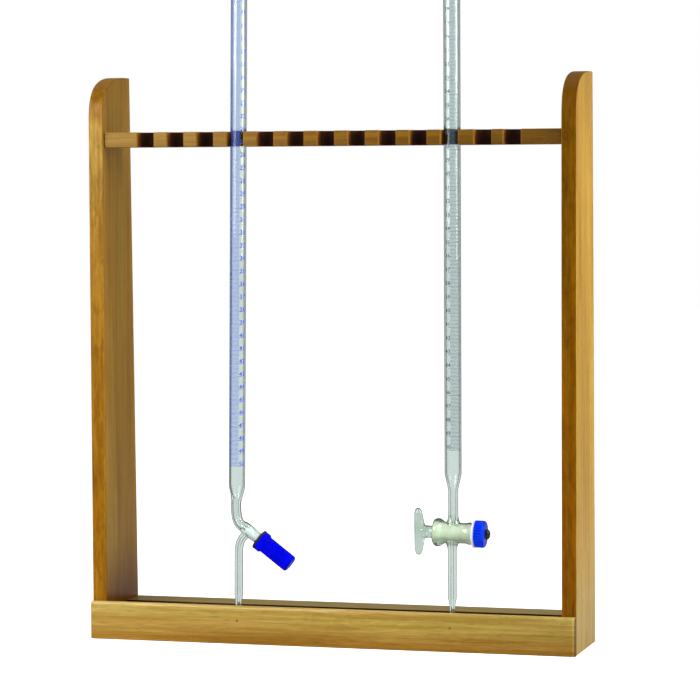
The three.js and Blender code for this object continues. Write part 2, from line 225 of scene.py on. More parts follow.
# ---- material nodes ----
class Nodes:
    """A node tree builder."""

    def __init__(self, tree):
        self.tree = tree
        tree.nodes.clear()

    def add(self, kind, inputs=None, **settings):
        """Makes a node; inputs given as sockets are linked, and others are set."""
        node = self.tree.nodes.new("ShaderNode" + kind)
        for key, value in settings.items():
            setattr(node, key, value)
        for key, value in (inputs or {}).items():
            target = node.inputs[key]
            if isinstance(value, bpy.types.NodeSocket):
                self.tree.links.new(value, target)
            elif target.type == "RGBA":
                target.default_value = (*value, 1)
            else:
                target.default_value = value
        return node

    def math(self, operation, a, b=0.0, c=0.0, clamp=False):
        inputs = {0: a, 1: b, 2: c}
        return self.add("Math", inputs, operation=operation, use_clamp=clamp).outputs[0]

    def times(self, a, b, clamp=False):
        return self.math("MULTIPLY", a, b, clamp=clamp)

    def minus(self, a, b, clamp=False):
        return self.math("SUBTRACT", a, b, clamp=clamp)

    def times_plus(self, a, b, c):
        return self.math("MULTIPLY_ADD", a, b, c)

    def beyond(self, a, b, gain):
        """How far a lies beyond b, times a gain, held between 0 and 1."""
        return self.times(self.minus(a, b, clamp=True), gain, clamp=True)

    def mix(self, amount, a, b, blend="MIX"):
        inputs = {0: amount, 6: a, 7: b}
        return self.add("Mix", inputs, data_type="RGBA", blend_type=blend).outputs[2]

    def tinted(self, colour, tint, amount=1.0):
        return self.mix(amount, colour, tint, "MULTIPLY")

    def either(self, amount, a, b):
        """Surface a, or surface b by an amount."""
        return self.add("MixShader", {0: amount, 1: a, 2: b}).outputs[0]


class Look(Nodes):
    """The nodes of a new material."""

    def __init__(self, name):
        self.material = bpy.data.materials.new(name)
        self.material.use_nodes = True
        super().__init__(self.material.node_tree)

    def ramp(self, factor, *stops):
        """A colour ramp from (position, colour) stops."""
        node = self.add("ValToRGB", {"Fac": factor})
        elements = node.color_ramp.elements
        while len(elements) < len(stops):
            elements.new(0.5)
        for element, (position, colour) in zip(elements, stops):
            element.position = position
            element.color = (*colour, 1)
        return node.outputs["Color"]

    def noise(self, scale, detail, roughness, distortion=0.0, shift=(0, 0, 0)):
        """Noise over object coordinates in metres, shifted and then scaled evenly or along each axis."""
        scales = scale if isinstance(scale, tuple) else (scale,) * 3
        place = self.add("TexCoord").outputs["Object"]
        spread = self.add("Mapping", {"Vector": place, "Location": shift, "Scale": scales})
        inputs = {"Vector": spread.outputs[0], "Scale": 1, "Detail": detail, "Roughness": roughness}
        inputs["Distortion"] = distortion
        return self.add("TexNoise", inputs).outputs["Fac"]

    def position(self):
        """The X, Y and Z of a place on the object, in metres."""
        place = self.add("TexCoord").outputs["Object"]
        return self.add("SeparateXYZ", {"Vector": place}).outputs

    def bump(self, height, distance, strength):
        inputs = {"Height": height, "Distance": distance, "Strength": strength}
        return self.add("Bump", inputs).outputs["Normal"]

    def surface(self, surface, volume=None):
        """Finishes the material."""
        output = self.add("OutputMaterial", {"Surface": surface})
        if volume:
            self.tree.links.new(volume, output.inputs["Volume"])
        return self.material

    def principled(self, **inputs):
        """A Principled surface; its inputs' names have underscores for spaces."""
        named = {key.replace("_", " "): value for key, value in inputs.items()}
        return self.add("BsdfPrincipled", named).outputs["BSDF"]


# ---- the rack's measures ----
upright_low, upright_high = box_mm("left_upright")
rail_low, rail_high = box_mm("comb_rail")
shelf_low, shelf_high = box_mm("base_shelf")
lip_low, lip_high = box_mm("front_lip")

RACK_WIDTH = 400
HEAD_DEPTH = 65
SHOULDER_DEPTH = 63.5
SHOULDER_HEIGHT = 41
SHOULDER_POWER = 3
NOTCH_COUNT = 13
NOTCH_PITCH = 25.1
FIRST_NOTCH = -2.1 - (NOTCH_COUNT - 1) / 2 * NOTCH_PITCH
STRAY_NOTCH = 11
STRAY_DISTANCE = 1.7
NOTCH_RADIUS = 6.95
NOTCH_CENTRE_Y = rail_low.y + 17.3 - NOTCH_RADIUS
TROUGH_DEPTH = 3.5
STEP_Y = lip_high.y + 47


# ---- wood ----
class Wood(Look):
    """Varnished beech with its fibres along one axis: drifting tone, streaks, fine fibres and dark flecks."""

    def __init__(self, name, axis, seed, light, dark):
        super().__init__(name)

        def grain(across, along, detail, roughness, distortion=0.0):
            scales = tuple(along if i == axis else across for i in range(3))
            return self.noise(scales, detail, roughness, distortion, (seed * 0.37, seed * 0.61, seed * 0.23))

        streak = grain(310, 9, 5, 0.62, 0.35)
        fibre = grain(1900, 42, 3, 0.6)
        tone = self.times_plus(grain(34, 2.2, 3, 0.5, 0.6), 0.9, self.times(streak, 0.95))
        tone = self.times_plus(fibre, 0.42, tone)
        self.colour = self.ramp(self.minus(tone, 0.64, clamp=True), (0.30, dark), (0.68, light))
        hue = grain(140, 3.5, 2, 0.5)
        self.tint((1.0, 0.80, 0.62), self.times(self.beyond(hue, 0.52, 4.5), 0.55))
        self.tint((0.86, 0.97, 0.62), self.times(self.beyond(0.48, hue, 4.5), 0.55))
        speck = self.beyond(grain(720, 95, 3, 0.55), 0.57, 6.0)
        self.cover(self.times(speck, 0.42), tuple(0.45 * c for c in dark))
        relief = self.times_plus(streak, 0.6, self.times(fibre, 0.5))
        self.relief = self.minus(relief, self.times(speck, 0.35))

    def tint(self, tint, amount=1.0):
        self.colour = self.tinted(self.colour, tint, amount)

    def cover(self, amount, paint):
        self.colour = self.mix(amount, self.colour, paint)

    def varnished(self, roughness=0.34, coat=0.13):
        """The finished material; coat can be a socket."""
        return self.surface(self.principled(
            Base_Color=self.colour,
            Roughness=self.times_plus(self.noise(60, 3, 0.5), 0.16, roughness - 0.08),
            Normal=self.bump(self.relief, 0.00022, 0.55),
            Specular_IOR_Level=self.times(coat, 1.6),
            Specular_Tint=(1.0, 0.80, 0.45),
            Coat_Weight=coat,
            Coat_Roughness=0.16,
            Coat_Normal=self.bump(self.noise(420, 2, 0.5), 0.00012, 0.35),
            Coat_IOR=1.45,
        ))


def add_knot(look, centre_x, centre_z, reach):
    """Darkens a small ringed knot, centred on a place in the X-Z plane, in millimetres."""
    x, _, z = look.position()
    across = look.times(look.minus(x, centre_x * MM), 1 / (reach * MM))
    along = look.times(look.minus(z, centre_z * MM), 0.7 / (reach * MM))
    distance = look.math("SQRT", look.times_plus(across, across, look.times(along, along)))
    distance = look.times_plus(look.noise(300, 3, 0.6), 0.35, distance)
    rings = look.times_plus(look.math("SINE", look.times(distance, 15)), 0.5, 0.5)
    fade = look.times(look.beyond(1.15, distance, 1.6), 0.40)
    look.tint((0.42, 0.36, 0.30), look.times(rings, fade))


def upright_wood(name, seed, face_tints, edge_tints, coat, soak, knot=None):
    """Upright grain. The sawn edges drink more varnish than the faces, and the head's curve shows end grain.

    The tints are ramp stops from the foot to the head, painting sheen and shade by height; soak is the end grain's
    weight and its two tones, made darker on the right as painted shade.
    """
    look = Wood(name, 2, seed, (0.62, 0.40, 0.095), (0.38, 0.205, 0.030))
    if knot:
        add_knot(look, *knot)
    normal = look.add("NewGeometry").outputs["Normal"]
    sides = look.add("SeparateXYZ", {"Vector": normal}).outputs
    sawn = look.beyond(0.75, look.math("ABSOLUTE", sides["X"]), 4)
    rise = look.math("DIVIDE", look.position()["Z"], upright_high.z * MM)
    # Face and edge tints by height: painted sheen and painted shade over the wood's own tone.
    look.tint(look.mix(sawn, look.ramp(rise, *face_tints), look.ramp(rise, *edge_tints)))
    blotch = look.noise((210, 210, 55), 4, 0.6, 0.8, (seed, 0, 0))
    mottled = look.ramp(blotch, (0.36, (0.72, 0.66, 0.55)), (0.62, (1.16, 1.16, 1.20)))
    look.tint(mottled, look.times(sawn, 0.75))
    weight, deep, pale = soak
    end_grain = look.times(look.beyond(sides["Z"], 0.10, 2.4), weight)
    look.cover(end_grain, look.mix(look.noise(1500, 2, 0.5), deep, pale))
    return look.varnished(coat=coat)


def along_rack(look, x):
    """How far along the rack a place is, from 0 at the left to 1 at the right."""
    return look.times_plus(x, 1 / (RACK_WIDTH * MM), 0.5)


def notch_distance(look, x, y):
    """The distance from the nearest notch's centre line, which runs from the notch's centre to the front."""
    first = FIRST_NOTCH * MM
    pitch = NOTCH_PITCH * MM
    stray = first + (STRAY_NOTCH * NOTCH_PITCH - 9) * MM
    past = look.times(look.math("GREATER_THAN", x, stray), look.math("LESS_THAN", x, stray + 20 * MM))
    evened = look.minus(x, look.times(past, STRAY_DISTANCE * MM))
    steps = look.math("DIVIDE", look.minus(evened, first), pitch)
    nearest = look.math("MAXIMUM", look.math("ROUND", steps), 0)
    nearest = look.math("MINIMUM", nearest, NOTCH_COUNT - 1)
    across = look.times(look.minus(steps, nearest), pitch)
    deep = look.math("MAXIMUM", look.minus(y, NOTCH_CENTRE_Y * MM), 0)
    return look.math("SQRT", look.times_plus(across, across, look.times(deep, deep)))


def rail_wood():
    """The comb rail: scorched inside its notches, with painted shade darkening them towards their backs and
    painted light at their tops, painted falloff and sheen along its length, and painted shade at its ends.
    """
    look = Wood("rail_beech", 0, 5.3, (0.55, 0.32, 0.064), (0.33, 0.165, 0.022))
    x, y, z = look.position()
    # Painted light along the rail: a pale painted sheen at the left end and painted shade deepening towards the
    # right.
    look.tint(look.ramp(
        along_rack(look, x), (0.0, (0.90, 0.92, 1.0)), (0.20, (0.88, 0.88, 0.92)), (0.45, (0.62, 0.49, 0.13)),
        (0.64, (0.48, 0.38, 0.07)), (1.0, (0.30, 0.25, 0.09))))
    # Notch walls: scorch plus painted shade that deepens towards the back of each notch.
    scorch_shade_reach = (NOTCH_RADIUS + 0.75) * MM
    distance = notch_distance(look, x, y)
    smudge = look.noise((260, 260, 120), 4, 0.6)
    wall = look.times(look.minus(scorch_shade_reach, distance, clamp=True), 1450)
    wall = look.math("MINIMUM", look.times_plus(smudge, 0.35, wall), 1)
    scorch_and_shade = look.times(wall, look.math("GREATER_THAN", scorch_shade_reach, distance))
    depth = look.times(look.minus(y, rail_low.y * MM), 1 / (16 * MM))
    depth = look.times_plus(smudge, 0.30, look.minus(depth, 0.15))
    # Lighter in the top 3.5 mm of each notch: painted light from above.
    near_top = look.minus(z, (rail_high.z - 3.5) * MM, clamp=True)
    depth = look.minus(depth, look.times(near_top, 55))
    look.cover(scorch_and_shade, look.ramp(
        depth, (0.10, (0.34, 0.15, 0.022)), (0.42, (0.13, 0.040, 0.006)), (0.70, (0.052, 0.019, 0.007)),
        (0.95, (0.026, 0.010, 0.006))))
    # Painted shade in the narrow gaps where the rail's ends meet the uprights.
    ends = look.beyond(look.math("ABSOLUTE", x), (rail_high.x - 1.0) * MM, 1800)
    look.cover(ends, (0.03, 0.016, 0.005))
    clear_of_scorch_and_shade = look.minus(1, look.times(scorch_and_shade, 0.85))
    return look.varnished(0.4, look.times(clear_of_scorch_and_shade, 0.10))


def shelf_wood():
    """The shelf, with painted shade darkening the step of its trough."""
    look = Wood("shelf_beech", 0, 9.1, (0.47, 0.30, 0.066), (0.27, 0.145, 0.020))
    x, y, z = look.position()
    # Painted light along the shelf: painted shade at the left, a paler, greyer painted sheen towards the right.
    look.tint(look.ramp(along_rack(look, x), (0.1, (0.62, 0.62, 0.45)), (0.9, (1.05, 1.22, 1.5))))
    # Painted shade along the foot and wall of the trough's step.
    away = look.math("ABSOLUTE", look.minus(y, STEP_Y * MM))
    step_painted_shade = look.minus(1, look.times(away, 1 / (5 * MM)), clamp=True)
    below = look.math("GREATER_THAN", (shelf_high.z - 0.2) * MM, z)
    look.cover(look.times(look.math("POWER", step_painted_shade, 0.5), below), (0.035, 0.014, 0.003))
    return look.varnished(0.34, 0.07)


def lip_wood():
    """The lip: flame figure, a painted highlight on its top arris, painted shade at its foot, and painted shade,
    highlight and shadow line at its right end.
    """
    look = Wood("lip_beech", 0, 3.9, (0.68, 0.48, 0.130), (0.42, 0.250, 0.038))
    flame = look.noise((9, 60, 60), 3, 0.55, 1.6, (0.7, 0.2, 0.1))
    figure = look.times_plus(look.math("SINE", look.times(flame, 46)), 0.5, 0.5)
    look.tint((0.72, 0.62, 0.40), look.times(figure, 0.30))
    x, _, z = look.position()
    # Painted light along the lip: painted shade towards the right, a painted highlight on the end's arris, and a
    # painted shadow line on the end face at the joint.
    look.tint(look.ramp(
        along_rack(look, x), (0.62, (1, 1, 1)), (0.92, (0.76, 0.76, 0.66)), (0.993, (0.72, 0.72, 0.60)),
        (0.995, (1.1, 1.1, 1.0)), (0.9975, (1.0, 0.95, 0.8)), (0.9985, (0.10, 0.06, 0.02))))
    # Painted shade at the lip's foot and a painted highlight along its top arris.
    look.tint(look.ramp(
        look.math("DIVIDE", z, lip_high.z * MM), (0.10, (0.78, 0.59, 0.32)), (0.55, (1, 1, 1)),
        (0.86, (1, 1, 1)), (0.97, (1.22, 1.30, 1.75))))
    return look.varnished()


def wooden(node, outline, thickness, to_world, arris, material):
    """A plate of the rack with its arrises rounded."""
    piece = add_object(node + "_wood", outline_plate(outline, thickness), to_world)
    modifier = piece.modifiers.new("arris", "BEVEL")
    modifier.width = arris * MM
    modifier.segments = 3
    modifier.limit_method = "ANGLE"
    modifier.angle_limit = radians(40)
    modifier.harden_normals = True
    dress(piece, material, "stand", node)


def on_edge(left):
    """Stands an outline in the Y-Z plane, with its thickness running along X from left."""
    return Matrix(((0, 0, 1, left), (1, 0, 0, 0), (0, 1, 0, 0), (0, 0, 0, 1)))


def upright_piece(node, material):
    low, high = box_mm(node)
    profile = [(low.y, 0), (high.y, 0), (low.y + HEAD_DEPTH, high.z)]
    steps = 28
    for i in range(steps, -1, -1):
        angle = pi / 2 * i / steps
        reach = 1 - max(0.0, cos(angle)) ** (2 / SHOULDER_POWER)
        drop = 1 - sin(angle) ** (2 / SHOULDER_POWER)
        profile.append((low.y + SHOULDER_DEPTH * reach, high.z - SHOULDER_HEIGHT * drop))
    wooden(node, profile, high.x - low.x, on_edge(low.x), 0.9, material)


def rail_piece():
    gap = 0.15
    left, right = rail_low.x + gap, rail_high.x - gap
    outline = [(left, rail_high.y), (left, rail_low.y)]
    for index in range(NOTCH_COUNT):
        x = FIRST_NOTCH + index * NOTCH_PITCH + (STRAY_DISTANCE if index == STRAY_NOTCH else 0)
        outline.append((x - NOTCH_RADIUS, rail_low.y))
        outline += arc(x, NOTCH_CENTRE_Y, NOTCH_RADIUS, 180, 0, 20)
        outline.append((x + NOTCH_RADIUS, rail_low.y))
    outline += [(right, rail_low.y), (right, rail_high.y)]
    lifted = Matrix.Translation((0, 0, rail_low.z))
    wooden("comb_rail", outline, rail_high.z - rail_low.z, lifted, 0.7, rail_wood())


def shelf_piece():
    low, high = shelf_low, shelf_high
    floor = high.z - TROUGH_DEPTH
    outline = [(low.y, low.z), (high.y, low.z), (high.y, high.z), (STEP_Y, high.z), (STEP_Y, floor)]
    outline.append((low.y, floor))
    wooden("base_shelf", outline, high.x - low.x, on_edge(low.x), 0.5, shelf_wood())


def lip_piece():
    low, high = lip_low, lip_high
    arris = 2.4
    outline = [(high.y, 0), (high.y, high.z)] + arc(low.y + arris, high.z - arris, arris, 90, 180, 8)
    outline.append((low.y, 0))
    wooden("front_lip", outline, high.x - low.x, on_edge(low.x), 0.6, lip_wood())


def build_rack():
    # Left upright's edges: painted sheen, growing paler and greyer up the front and brightest just below the
    # head's curve.
    left_edge_painted_sheen = [(0.25, (0.72, 0.49, 0.07)), (0.70, (0.78, 0.62, 0.30)), (0.84, (0.94, 0.88, 0.78)),
              (0.905, (0.98, 0.94, 0.90)), (0.935, (0.70, 0.50, 0.14))]
    # Right upright's edges: darker edge grain plus painted shade, standing in for the key light's falloff towards
    # the right.
    right_edge_stain_and_shade = [(0.25, (0.44, 0.265, 0.010)), (0.9, (0.42, 0.285, 0.014))]
    # Left upright's faces: painted shade overall, darkest at the foot by the shelf and darker again at the head.
    left_face_painted_shade = [(0.065, (0.38, 0.20, 0.01)), (0.17, (0.78, 0.69, 0.34)), (0.80, (0.78, 0.68, 0.42)),
              (0.98, (0.60, 0.49, 0.28))]
    # Right upright's faces: painted sheen, paler and greyer near the foot, and painted shade towards the head.
    right_face_sheen_and_shade = [(0.06, (0.92, 0.98, 1.00)), (0.22, (1.02, 0.98, 0.72)), (0.80, (1.0, 0.92, 0.60)),
             (0.98, (0.78, 0.70, 0.45))]
    left_soak = (0.45, (0.11, 0.045, 0.001), (0.32, 0.155, 0.006))
    # The right head's end grain is darker and heavier than the left's: end grain plus painted shade.
    right_soak_and_shade = (0.9, (0.06, 0.021, 0.0005), (0.20, 0.082, 0.001))
    left = upright_wood("left_beech", 1.7, left_face_painted_shade, left_edge_painted_sheen, 0.055, left_soak)
    right = upright_wood("right_beech", 7.4, right_face_sheen_and_shade, right_edge_stain_and_shade, 0.04, right_soak_and_shade, knot=(191.5, 404, 6))
    upright_piece("left_upright", left)
    upright_piece("right_upright", right)
    rail_piece()
    shelf_piece()
    lip_piece()
    hidden = Wood("dowel_beech", 0, 2.2, (0.62, 0.42, 0.2), (0.45, 0.27, 0.1)).varnished()
    for name in frame["record"]["behaviour"]["bodies"]["stand"]:
        if "dowel" in name:
            frame["nodes"][name].data.materials.clear()
            frame["nodes"][name].data.materials.append(hidden)


def brad_metal():
    look = Look("brad_metal")
    spots = look.noise(1800, 3, 0.6)
    colour = look.ramp(spots, (0.35, (0.13, 0.070, 0.022)), (0.65, (0.26, 0.150, 0.050)))
    return look.surface(look.principled(
        Base_Color=colour, Metallic=0.25, Roughness=look.times_plus(spots, 0.3, 0.35),
        Normal=look.bump(spots, 0.0001, 0.4)))


def build_brads():
    """Each brad's head sits just proud of the lip's varnish."""
    material = brad_metal()
    for node in ("lip_brad_1", "lip_brad_2"):
        low, high = box_mm(node)
        centre = (low + high) / 2
        radius = (high.x - low.x) / 2
        length = high.y - low.y
        profile = [(0, -0.12), (radius * 0.6, -0.1), (radius * 0.95, 0.05), (radius, 0.3), (0.7, 0.9),
                   (0.7, length - 1.5), (0, length)]
        to_world = Matrix.Translation((centre.x, low.y, centre.z)) @ Matrix.Rotation(-pi / 2, 4, "X")
        piece = add_object(node + "_steel", revolve(profile, 32), to_world)
        dress(piece, material, "stand", node)


# ---- glass and plastics ----
TUBE_TINT = (0.81, 0.87, 0.85)
TUBE_EDGE_SHADE = (0.05, 0.075, 0.095)
MILKY = ((0.80, 0.85, 0.86), (0.90, 0.94, 0.96))
STRAW = ((0.86, 0.90, 0.66), (0.96, 0.98, 0.80))


def clear_glass(name, tint, edge, ground):
    """Pale green glass, with painted shade darkening it towards its outline, and darker where it is thick.

    ground is the ground surfaces' middle, axis, half length and radius, in millimetres, and their two tones.
    """
    look = Look(name)
    facing = look.add("LayerWeight", {"Blend": 0.5}).outputs["Facing"]
    between = tuple((a + b) / 2 for a, b in zip(tint, edge))
    glass = look.principled(
        # Painted shade: the colour darkens to the edge colour where the surface is seen at a grazing angle.
        Base_Color=look.ramp(facing, (0.30, tint), (0.46, between), (0.64, edge)),
        Roughness=0.0,
        IOR=1.47,
        Transmission_Weight=1.0,
        Normal=look.bump(look.noise((90, 90, 22), 2, 0.5), 0.0004, 0.25),
    )
    glass = ground_glass(look, glass, *ground)
    lets_light = look.add("BsdfTransparent", {"Color": (0.93, 0.95, 0.94)}).outputs[0]
    shadow = look.add("LightPath").outputs["Is Shadow Ray"]
    depth = look.add("VolumeAbsorption", {"Color": (0.0, 0.25, 0.10), "Density": 40})
    return look.surface(look.either(shadow, glass, lets_light), depth.outputs[0])


def about_axis(look, middle, axis):
    """How far a point lies along an axis from its middle, and the square of its distance from the axis."""
    place = look.add("NewGeometry").outputs["Position"]
    ends = {0: place, 1: tuple(middle * MM)}
    offset = look.add("VectorMath", ends, operation="SUBTRACT").outputs["Vector"]
    dot = {0: offset, 1: tuple(axis)}
    along = look.add("VectorMath", dot, operation="DOT_PRODUCT").outputs["Value"]
    length = look.add("VectorMath", {0: offset}, operation="LENGTH").outputs["Value"]
    return along, look.minus(look.times(length, length), look.times(along, along))


def ground_glass(look, glass, middle, axis, half_length, radius, tones):
    """Frosts the surfaces that lie within a short cylinder, and a little those just outside it."""
    along, squares = about_axis(look, middle, axis)
    inside = look.math("LESS_THAN", squares, (radius * MM) ** 2)
    outside = look.math("LESS_THAN", squares, (1.9 * radius * MM) ** 2)
    near = look.math("MAXIMUM", inside, look.times(outside, 0.10))
    away = look.math("ABSOLUTE", along)
    frosted = look.times(near, look.math("LESS_THAN", away, half_length * MM))
    grit = look.noise(900, 3, 0.6)
    tone = look.ramp(grit, (0.3, tones[0]), (0.7, tones[1]))
    frost = look.principled(Base_Color=tone, Roughness=0.6, Normal=look.bump(grit, 0.00004, 0.4))
    wear = look.times_plus(look.noise((190, 60, 60), 3, 0.55), 0.5, 0.38)
    return look.either(look.times(frosted, wear), glass, frost)


def moulded(name, colour, deep, roughness=0.34, sheen=0.3, gloss=(1, 1, 1), shine=0.3, grooves=None):
    """Moulded plastic or rubber with a faint skin texture and uneven tone.

    grooves is the middle, axis, half length, crest radius and groove radius of a ribbed grip, in millimetres.
    """
    look = Look(name)
    skin = look.noise(900, 3, 0.6)
    mixed = look.ramp(look.noise(130, 4, 0.6), (0.30, deep), (0.62, colour))
    if grooves:
        mixed = shaded_grooves(look, mixed, *grooves)
    return look.surface(look.principled(
        Base_Color=mixed, Roughness=look.times_plus(skin, 0.14, roughness - 0.05), Specular_IOR_Level=shine,
        Specular_Tint=gloss, Coat_Weight=sheen, Coat_Roughness=0.22, Normal=look.bump(skin, 0.00006, 0.5)))


def shaded_grooves(look, colour, middle, axis, half_length, crest, groove):
    """Darkens the grooves of a ribbed grip, where dirt and shade gather."""
    along, squares = about_axis(look, middle, axis)
    depth = look.beyond(crest * MM, look.math("SQRT", squares), 1 / ((crest - groove) * MM))
    within = look.math("LESS_THAN", look.math("ABSOLUTE", along), half_length * MM)
    return look.tinted(colour, (0.60, 0.48, 0.78), look.times(depth, within))


def ptfe():
    look = Look("ptfe")
    tone = look.noise((400, 400, 60), 3, 0.5)
    colour = look.ramp(tone, (0.3, (0.80, 0.81, 0.80)), (0.7, (0.92, 0.92, 0.91)))
    return look.surface(look.principled(
        Base_Color=colour, Roughness=0.42, Subsurface_Weight=0.25, Subsurface_Radius=(1.0, 1.0, 1.0),
        Subsurface_Scale=0.0012, Normal=look.bump(tone, 0.00005, 0.4)))


def enamel(name, colour):
    look = Look(name)
    worn = tuple(0.8 * c for c in colour)
    full = tuple(min(1, 1.3 * c) for c in colour)
    ink = look.ramp(look.noise(1600, 3, 0.6), (0.3, worn), (0.7, full))
    return look.surface(look.principled(Base_Color=ink, Roughness=0.45))


# ---- burette frames ----
def rim_centre(node):
    """The centre of a burette's open top, in millimetres."""
    mesh = frame["nodes"][node].data
    top = max(vertex.co.z for vertex in mesh.vertices)
    rim = [vertex.co for vertex in mesh.vertices if vertex.co.z > top - 0.4 * MM]
    return sum(rim, Vector()) / len(rim) / MM


class Burette:
    """A burette drawn in its own millimetres: tube axis on z, heights above the table, a joint's axis in X-Z.

    joint_place is the joint's place in those millimetres, and dip how far its axis dips below x, in degrees.
    """

    def __init__(self, node, joint, joint_place, dip):
        place = Vector(JOINTS[joint]["pos_m"]) / MM
        self.axis = Vector(JOINTS[joint]["axis"]).normalized()
        y_axis = (rim_centre(node) - place).cross(self.axis).normalized()
        x_axis = Matrix.Rotation(-radians(dip), 3, y_axis) @ self.axis
        turn = Matrix((x_axis, y_axis, x_axis.cross(y_axis))).transposed()
        self.to_world = Matrix.Translation(place - turn @ joint_place) @ turn.to_4x4()
        self.place = place
        lay = Matrix.Rotation(radians(90 + dip), 4, "Y")
        self.onto_axis = Matrix.Translation(joint_place) @ lay

    def on_axis(self, distance):
        """A place on the joint's axis, in the frame's millimetres."""
        return self.place + self.axis * distance

    def laid(self, profile, steps=64, closed=False, radius_at=None):
        """A turned piece drawn along +Z and laid onto the joint's axis."""
        return moved(revolve(profile, steps, closed, radius_at), self.onto_axis)

    def add(self, name, mesh, material, body, node=None, slot=None, smooth_angle=35):
        dress(add_object(name, mesh, self.to_world, smooth_angle), material, body, node)


def turned(points, offset_x=0, steps=64):
    return moved(revolve(points, steps), Matrix.Translation((offset_x, 0, 0)))


def round_section(radius, height, thickness, steps):
    """An O-ring's section, from its radius to the middle of the section."""
    angles = [tau * k / steps for k in range(steps)]
    return [(radius + thickness * cos(a), height + thickness * sin(a)) for a in angles]


def ribbed(count, depth, low, high):
    """A radius function: shallow rounded grooves between two heights."""
    def radius_at(radius, angle, height):
        if low < height < high:
            return radius - depth * (0.5 - 0.5 * cos(angle * count)) ** 2
        return radius
    return radius_at


def spaced(start, end, count, radius):
    return [(radius, start + (end - start) * i / count) for i in range(count + 1)]


TIP_HEIGHT = 22


def jet(x, shape, top):
    """The outside of a jet: shape gives the stem, the drawn-down part, the tip and where the drawing is."""
    stem, drawn, tip, drawn_to, drawn_from = shape
    middle = (drawn_from + drawn_to) / 2
    points = [(0, TIP_HEIGHT), (tip - 0.5, TIP_HEIGHT), (tip, TIP_HEIGHT + 0.6), (drawn - 0.03, drawn_to - 1),
              (drawn + 0.1, drawn_to + 0.3), ((stem + drawn) / 2, middle), (stem - 0.12, drawn_from - 0.7),
              (stem, drawn_from + 0.6), (stem, top), (0, top)]
    return turned(points, x, 40)


def jet_bore(x, top):
    points = [(0, TIP_HEIGHT - 1), (0.6, TIP_HEIGHT - 1), (0.6, TIP_HEIGHT + 4), (1.1, TIP_HEIGHT + 16),
              (1.1, top), (0, top)]
    return turned(points, x, 24)


def tube_outside(tube, neck):
    radius, top, shoulder = tube["radius"], tube["top"], tube["shoulder"]
    points = [(radius - 0.5, shoulder - 1.2), (radius - 0.12, shoulder + 0.1), (radius, shoulder + 2),
              (radius, top - 1.1), (radius - 0.15, top - 0.45), (radius - 0.5, top), (0, top)]
    return turned(neck + points)


def tube_inside(tube, neck):
    bore, top, shoulder = tube["bore"], tube["top"], tube["shoulder"]
    points = [(bore - 0.5, shoulder + 0.3), (bore - 0.1, shoulder + 2), (bore, shoulder + 4), (bore, top + 1),
              (0, top + 1)]
    return turned(neck + points)


# ---- graduated scales ----
def digit_meshes(size, depth, bold):
    """Vertices and faces of the ten digits, lying in X-Y in millimetres."""
    found = []
    for digit in range(10):
        curve = bpy.data.curves.new("digit", "FONT")
        curve.body = str(digit)
        curve.size = size
        curve.extrude = depth / 2
        curve.offset = bold
        curve.resolution_u = 3
        made = new_object("digit", curve)
        mesh = evaluated(made)
        found.append(([v.co.copy() for v in mesh.vertices], [tuple(p.vertices) for p in mesh.polygons]))
        bpy.data.objects.remove(made)
    return found


class Scale:
    """Fired-on graduations: thin solid strips and digits wrapped round a tube."""

    def __init__(self, radius, thickness=0.03):
        self.inner = radius + 0.01
        self.outer = radius + 0.01 + thickness
        self.thickness = thickness
        self.vertices = []
        self.faces = []

    def place(self, angle, radius, height):
        """Adds a vertex; the angle is measured from -Y towards +X."""
        self.vertices.append((radius * sin(angle), -radius * cos(angle), height))

    def strip(self, start, end, height, width):
        """A tick between two angles in degrees."""
        steps = max(3, int(abs(end - start) / 6))
        first = len(self.vertices)
        for i in range(steps + 1):
            angle = radians(start + (end - start) * i / steps)
            for radius in (self.inner, self.outer):
                self.place(angle, radius, height - width / 2)
                self.place(angle, radius, height + width / 2)
        for a in range(first, first + 4 * steps, 4):
            for p, q in ((0, 1), (1, 3), (3, 2), (2, 0)):
                self.faces.append((a + p, a + q, a + 4 + q, a + 4 + p))
        last = first + 4 * steps
        self.faces.append((first, first + 2, first + 3, first + 1))
        self.faces.append((last, last + 1, last + 3, last + 2))

    def number(self, value, angle, height, digits, size):
        """A number whose middle is at an angle in degrees and a height."""
        advance = size * 0.56
        text = str(value)
        for place, letter in enumerate(text):
            vertices, faces = digits[int(letter)]
            first = len(self.vertices)
            left = advance * (place - len(text) / 2)
            for v in vertices:
                turn = radians(angle) + (v.x + left) / self.outer
                self.place(turn, self.inner + self.thickness / 2 + v.z, height + v.y)
            self.faces += [tuple(first + k for k in face) for face in faces]

    def mesh(self):
        made = mesh_of("scale", self.vertices, self.faces)
        cleaner = bmesh.new()
        cleaner.from_mesh(made)
        bmesh.ops.remove_doubles(cleaner, verts=cleaner.verts, dist=0.0002)
        bmesh.ops.recalc_face_normals(cleaner, faces=cleaner.faces)
        cleaner.to_mesh(made)
        cleaner.free()
        return made


def graduated(radius, zero_height, pitch, ticks, numbers, line_width, size, raised):
    """A 50 mL scale in tenths; ticks and numbers say where the marks sit round the tube, in degrees."""
    scale = Scale(radius)
    digits = digit_meshes(size, scale.thickness, 0.02 * size)
    start, end = ticks
    for tenth in range(501):
        height = zero_height - tenth * pitch / 10
        if tenth % 10 == 0:
            scale.strip(start - 14, end + 22, height, line_width * 1.15)
            scale.number(tenth // 10, numbers, height + raised, digits, size)
        elif tenth % 5 == 0:
            scale.strip(start - 5, end, height, line_width)
        else:
            scale.strip(start, end, height, line_width)
    return scale.mesh()


# ---- burette A ----
VALVE_ANGLE = 36.5
BARREL_START = Vector((5.8, 0, 92.9))
JET_X_A = 1.8
JET_A = (3.45, 2.75, 2.3, 34, 37.5)
NECK_X_A = -0.9
TUBE_A = {"radius": 6.55, "bore": 5.5, "top": 705, "shoulder": 124}


